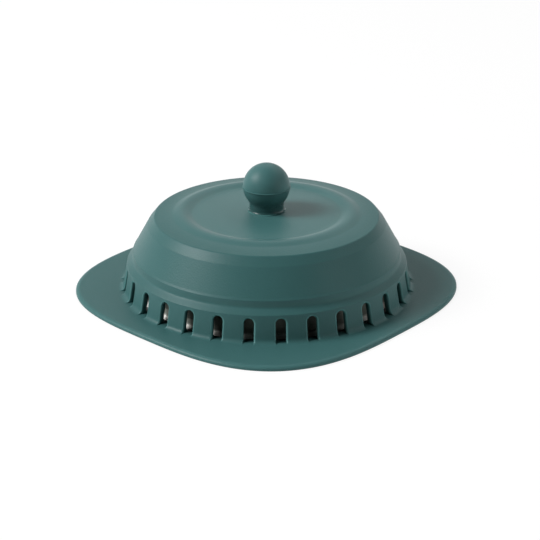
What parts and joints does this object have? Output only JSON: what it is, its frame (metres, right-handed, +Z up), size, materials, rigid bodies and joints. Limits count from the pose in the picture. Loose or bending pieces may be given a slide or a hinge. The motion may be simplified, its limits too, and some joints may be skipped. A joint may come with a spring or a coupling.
{
  "type": "floor drain cover",
  "caption": "Round silicone dome on a square flange, with a slotted skirt, a ball knob on top and a polished steel shell pressed up inside.",
  "frame": {"origin": "on the floor, on the dome's axis, under the middle of the flange", "axes": "+Z up through the knob; X and Y square to the flange's sides"},
  "size_m": [0.12, 0.12, 0.0455],
  "materials": {
    "silicone": "matte moulded silicone, dark teal green",
    "knob_silicone": "satin moulded silicone, dark teal green",
    "core_plastic": "moulded nylon",
    "screw_steel": "plain stainless",
    "polished_steel": "polished stainless"
  },
  "bodies": {
    "cover": {"cover_shell": "silicone", "ball_knob": "knob_silicone", "knob_core": "core_plastic", "knob_screw": "screw_steel", "knob_washer": "screw_steel"},
    "shell": {"steel_shell": "polished_steel"}
  },
  "joints": [
    {"name": "shell_pull_out", "type": "slide", "parent": "cover", "child": "shell", "axis": [0, 0, -1], "range_m": [0, 0.03]}
  ]
}
